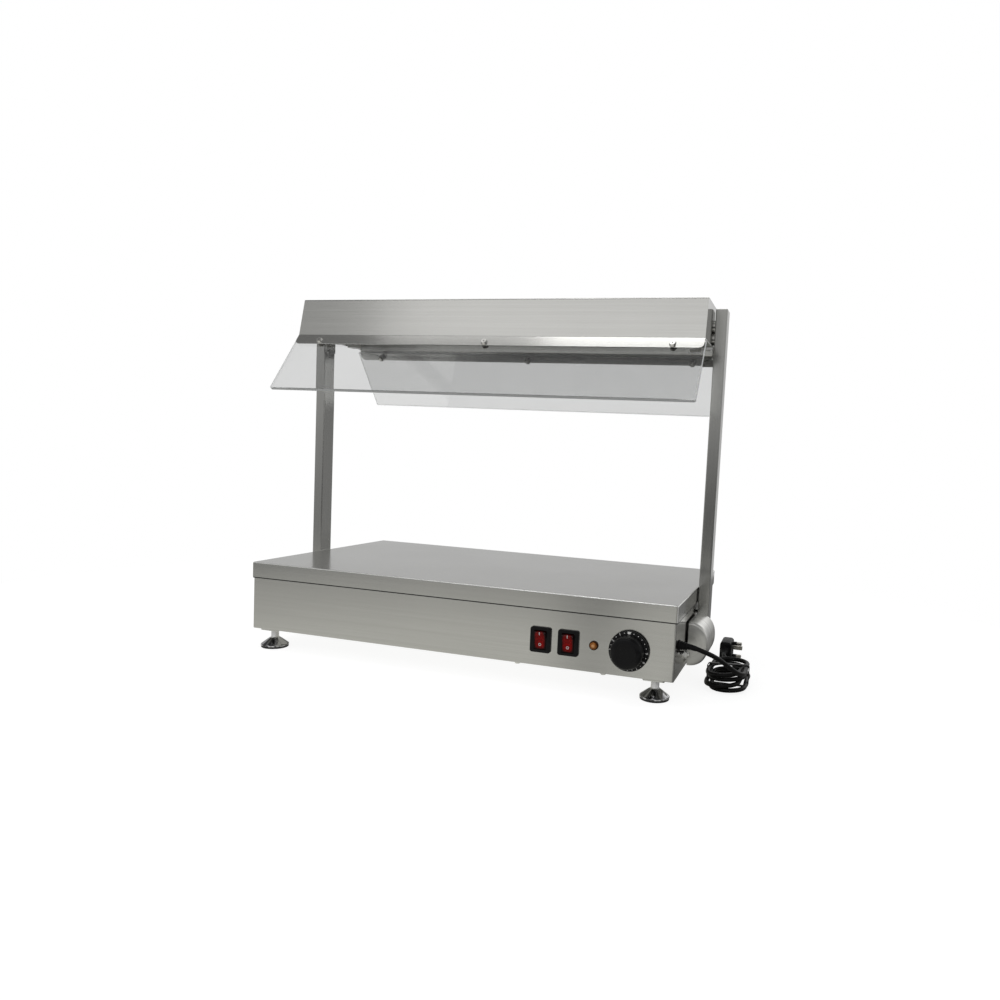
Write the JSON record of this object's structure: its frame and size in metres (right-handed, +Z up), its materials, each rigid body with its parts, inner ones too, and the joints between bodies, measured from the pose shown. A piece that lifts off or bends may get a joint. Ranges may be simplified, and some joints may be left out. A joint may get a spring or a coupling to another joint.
{
  "type": "food warmer with gantry",
  "caption": "Countertop food warmer: heated stainless top on levelling feet, with a lamp hood on side posts and sloped glass guards.",
  "frame": {"origin": "centre of the warm top's upper face", "axes": "+X along the length to the right as seen from the controls, +Y to the back, +Z up; the feet stand 116 mm below the origin"},
  "size_m": [0.6713, 0.3411, 0.4817],
  "materials": {
    "steel_sheet": "brushed stainless sheet",
    "steel_fixings": "bright plated steel",
    "feet_chrome": "polished",
    "rubber_black": "matte",
    "black_plastic": "satin",
    "red_plastic": "gloss, translucent look",
    "amber_plastic": "gloss",
    "clear_glass": "clear, toughened",
    "quartz": "clear quartz tube",
    "heater_steel": "dull sheath",
    "board": "mineral fibre board",
    "bright_sheet": "bright reflector sheet",
    "white_ceramic": "glazed",
    "copper_tube": "drawn copper",
    "plug_brass": "machined",
    "cord_black": "satin flex"
  },
  "bodies": {
    "warmer": {"top_plate": "steel_sheet", "base_body": "steel_sheet", "bottom_cover": "steel_sheet", "bottom_cover_screws": "steel_fixings", "heating_element": "heater_steel", "element_clamps": "steel_sheet", "insulation_board": "board", "insulation_tray": "bright_sheet", "thermostat_body": "black_plastic", "thermostat_bulb": "copper_tube", "switch_housing_left": "black_plastic", "switch_housing_right": "black_plastic", "indicator_body": "black_plastic", "indicator_lens": "amber_plastic", "cable_gland": "black_plastic", "bonding_terminal": "steel_fixings", "terminal_block": "white_ceramic", "wiring_cover": "steel_sheet", "post_left": "steel_sheet", "post_right": "steel_sheet", "post_caps": "steel_sheet", "spacer_washers": "steel_fixings", "gantry_bolts": "steel_fixings", "hood_shell": "steel_sheet", "hood_end_left": "steel_sheet", "hood_end_right": "steel_sheet", "hood_brackets": "steel_sheet", "reflector": "bright_sheet", "heat_lamp_front": "quartz", "heat_lamp_rear": "quartz", "lamp_holders": "white_ceramic", "glass_front": "clear_glass", "glass_rear": "clear_glass", "glass_screws": "steel_fixings", "glass_nuts": "steel_fixings", "cord_lead": "cord_black", "cord_hank": "cord_black", "cord_tail": "cord_black", "cord_tie": "cord_black", "plug_body": "black_plastic", "plug_pins": "plug_brass", "foot_plate_front_left": "steel_sheet", "foot_plate_front_right": "steel_sheet", "foot_plate_rear_left": "steel_sheet", "foot_plate_rear_right": "steel_sheet"},
    "knob": {"thermostat_knob": "black_plastic", "thermostat_spindle": "steel_fixings"},
    "rocker_left": {"switch_rocker_left": "red_plastic"},
    "rocker_right": {"switch_rocker_right": "red_plastic"},
    "foot_front_left": {"foot_front_left": "feet_chrome", "foot_pad_front_left": "rubber_black"},
    "foot_front_right": {"foot_front_right": "feet_chrome", "foot_pad_front_right": "rubber_black"},
    "foot_rear_left": {"foot_rear_left": "feet_chrome", "foot_pad_rear_left": "rubber_black"},
    "foot_rear_right": {"foot_rear_right": "feet_chrome", "foot_pad_rear_right": "rubber_black"}
  },
  "joints": [
    {"name": "rocker_left_tip", "type": "hinge", "parent": "warmer", "child": "rocker_left", "pos_m": [0.125, -0.158, -0.058], "axis": [-1, 0, 0], "range_deg": [0, 20]},
    {"name": "rocker_right_tip", "type": "hinge", "parent": "warmer", "child": "rocker_right", "pos_m": [0.16, -0.158, -0.058], "axis": [-1, 0, 0], "range_deg": [0, 20]},
    {"name": "knob_turn", "type": "hinge", "parent": "warmer", "child": "knob", "pos_m": [0.2346, -0.1585, -0.0584], "axis": [0, 1, 0], "range_deg": [0, 270]},
    {"name": "foot_front_left_screw", "type": "slide", "parent": "warmer", "child": "foot_front_left", "axis": [0, 0, -1], "range_m": [0, 0.015]},
    {"name": "foot_front_right_screw", "type": "slide", "parent": "warmer", "child": "foot_front_right", "axis": [0, 0, -1], "range_m": [0, 0.015]},
    {"name": "foot_rear_left_screw", "type": "slide", "parent": "warmer", "child": "foot_rear_left", "axis": [0, 0, -1], "range_m": [0, 0.015]},
    {"name": "foot_rear_right_screw", "type": "slide", "parent": "warmer", "child": "foot_rear_right", "axis": [0, 0, -1], "range_m": [0, 0.015]}
  ]
}
